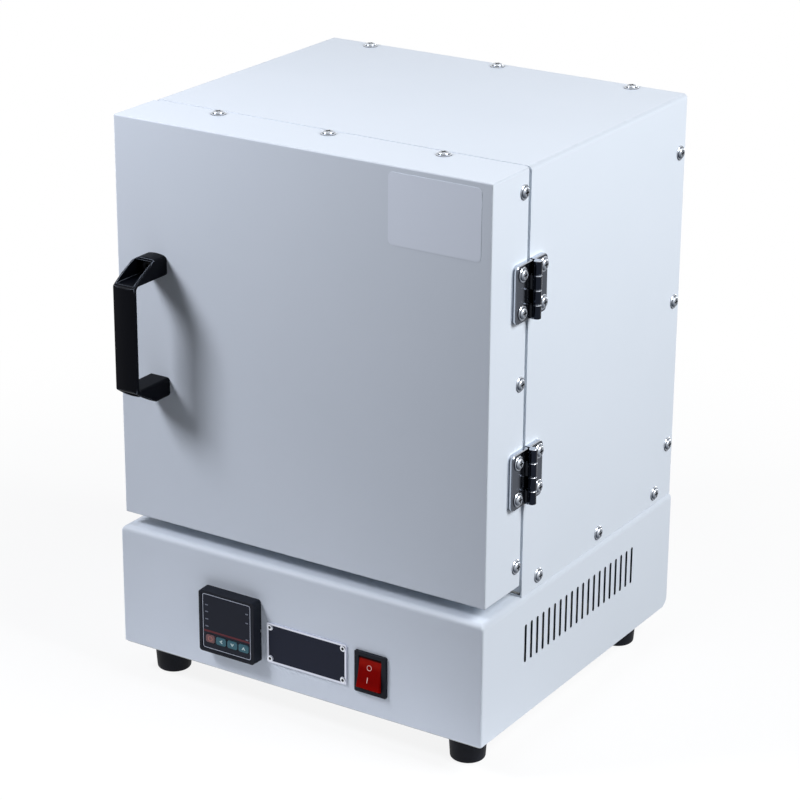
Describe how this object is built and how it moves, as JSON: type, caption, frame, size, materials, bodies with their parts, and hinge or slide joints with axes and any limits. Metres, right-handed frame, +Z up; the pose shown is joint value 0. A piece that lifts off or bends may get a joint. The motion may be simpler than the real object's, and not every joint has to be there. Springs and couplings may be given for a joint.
{
  "type": "burnout furnace",
  "caption": "Bench-top burnout furnace: white sheet-steel case with a side-hung front door and bridge handle, fibre-lined heated chamber, and an electrics base on rubber feet.",
  "frame": {"origin": "on the surface the feet stand on, under the middle of the whole box", "axes": "X to the right seen from the front, Y to the back, Z up; the door faces -Y"},
  "size_m": [0.3124, 0.3224, 0.4219],
  "materials": {
    "white_paint": "satin powder coat",
    "zinc_sheet": "plain zinc-plated sheet",
    "bright_screw": "bright nickel plate",
    "zinc_fixing": "zinc plate",
    "hinge_steel": "polished stainless steel",
    "handle_nylon": "fine-textured glass-filled nylon",
    "foot_rubber": "matt moulded rubber",
    "ceramic_fibre": "vacuum-formed fibre board",
    "cordierite": "fired honeycomb tile",
    "heating_wire": "oxidised resistance wire",
    "alumina": "sintered alumina",
    "black_plastic": "fine-textured moulding",
    "window_film": "smoked polyester film",
    "key_red": "printed key film",
    "key_teal": "printed key film",
    "rocker_red": "translucent polycarbonate",
    "terminal_brass": "tinned brass",
    "plate_aluminium": "anodised, dark field",
    "sink_aluminium": "extruded",
    "relay_case": "potted moulding",
    "block_plastic": "moulded",
    "circuit_board": "solder mask",
    "wire_jacket": "woven silicone sleeve",
    "magnet": "nickel-plated",
    "clear_film": "clear polyester film"
  },
  "bodies": {
    "case": {"base_shell": "white_paint", "base_bottom_plate": "zinc_sheet", "base_back_panel": "white_paint", "rubber_feet": "foot_rubber", "foot_bolts": "zinc_fixing", "foot_nuts": "zinc_fixing", "base_cover_screws": "bright_screw", "joint_rivets": "zinc_fixing", "body_wrapper": "white_paint", "body_front_frame": "white_paint", "body_back_panel": "white_paint", "body_floor_plate": "white_paint", "body_screws": "bright_screw", "chamber_left_wall": "ceramic_fibre", "chamber_right_wall": "ceramic_fibre", "chamber_floor": "ceramic_fibre", "chamber_roof": "ceramic_fibre", "chamber_back_wall": "ceramic_fibre", "wall_heating_coils": "heating_wire", "floor_heating_coil": "heating_wire", "element_studs": "heating_wire", "stud_bushes": "alumina", "honeycomb_tile": "cordierite", "thermocouple": "alumina", "door_magnets": "magnet", "hinge_body_leaves": "hinge_steel", "hinge_body_shims": "hinge_steel", "hinge_pins": "hinge_steel", "hinge_body_screws": "bright_screw", "controller_bezel": "black_plastic", "controller_window": "window_film", "controller_case": "black_plastic", "controller_board": "circuit_board", "controller_clamp": "black_plastic", "switch_housing": "black_plastic", "switch_tabs": "terminal_brass", "nameplate": "plate_aluminium", "nameplate_rivets": "plate_aluminium", "relay_heat_sink": "sink_aluminium", "solid_state_relay": "relay_case", "terminal_block": "block_plastic", "cable_gland": "black_plastic", "gland_locknut": "black_plastic", "internal_wiring": "wire_jacket"},
    "door": {"door_skin": "white_paint", "door_back_plate": "white_paint", "door_insulation": "ceramic_fibre", "door_plug": "ceramic_fibre", "door_screws": "bright_screw", "door_handle": "handle_nylon", "handle_fixings": "zinc_fixing", "label_film": "clear_film", "hinge_door_leaves": "hinge_steel", "hinge_door_shims": "hinge_steel", "hinge_door_screws": "bright_screw"},
    "rocker": {"switch_rocker": "rocker_red"},
    "key_set_cap": {"key_set": "key_red"},
    "key_shift_cap": {"key_shift": "key_teal"},
    "key_down_cap": {"key_down": "key_teal"},
    "key_up_cap": {"key_up": "key_teal"}
  },
  "joints": [
    {"name": "door_swing", "type": "hinge", "parent": "case", "child": "door", "pos_m": [0.15335, -0.07575, 0.2726], "axis": [0, 0, 1], "range_deg": [0, 180]},
    {"name": "rocker_tilt", "type": "hinge", "parent": "case", "child": "rocker", "pos_m": [0.05955, -0.12605, 0.05635], "axis": [1, 0, 0], "range_deg": [0, 24]},
    {"name": "key_set_press", "type": "slide", "parent": "case", "child": "key_set_cap", "axis": [0, 1, 0], "range_m": [0, 0.0005], "stiffness_N_per_m": 1500},
    {"name": "key_shift_press", "type": "slide", "parent": "case", "child": "key_shift_cap", "axis": [0, 1, 0], "range_m": [0, 0.0005], "stiffness_N_per_m": 1500},
    {"name": "key_down_press", "type": "slide", "parent": "case", "child": "key_down_cap", "axis": [0, 1, 0], "range_m": [0, 0.0005], "stiffness_N_per_m": 1500},
    {"name": "key_up_press", "type": "slide", "parent": "case", "child": "key_up_cap", "axis": [0, 1, 0], "range_m": [0, 0.0005], "stiffness_N_per_m": 1500}
  ]
}
